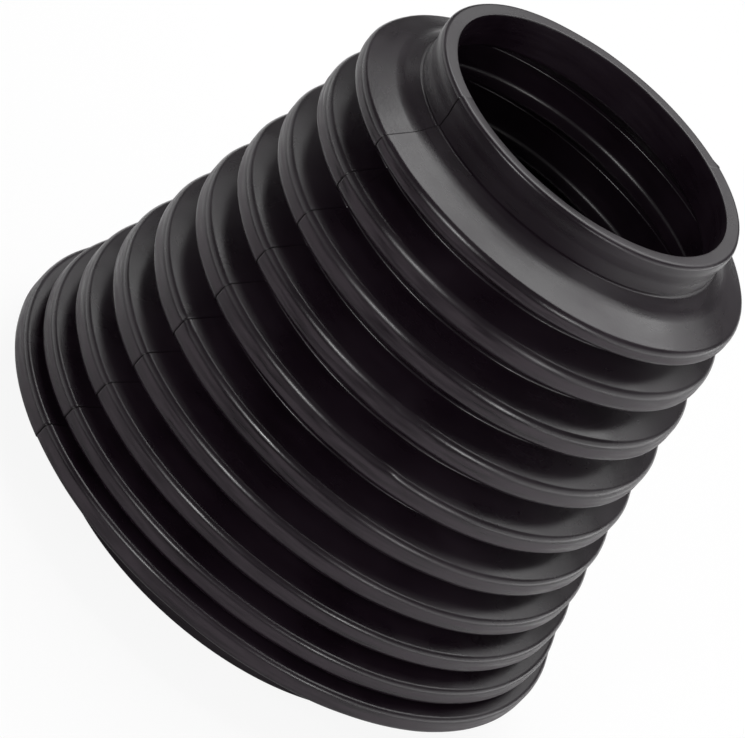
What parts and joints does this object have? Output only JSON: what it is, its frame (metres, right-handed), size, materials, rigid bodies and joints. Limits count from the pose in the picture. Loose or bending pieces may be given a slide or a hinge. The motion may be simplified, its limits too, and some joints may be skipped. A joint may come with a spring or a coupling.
{
  "type": "rubber bellows boot",
  "caption": "Conical rubber bellows boot with flat-topped folds, a small clamping cuff and a large clamping cuff, to seal a moving joint or shaft.",
  "frame": {"origin": "centre of the ring face that the large cuff stands on", "axes": "+Z along the boot's axis, from the large cuff to the neck; X and Y are free, because the boot is round"},
  "size_m": [0.1204, 0.1204, 0.108],
  "materials": {
    "rubber_black": "satin, as moulded"
  },
  "bodies": {
    "root": {"bellows_boot": "rubber_black"}
  },
  "joints": []
}
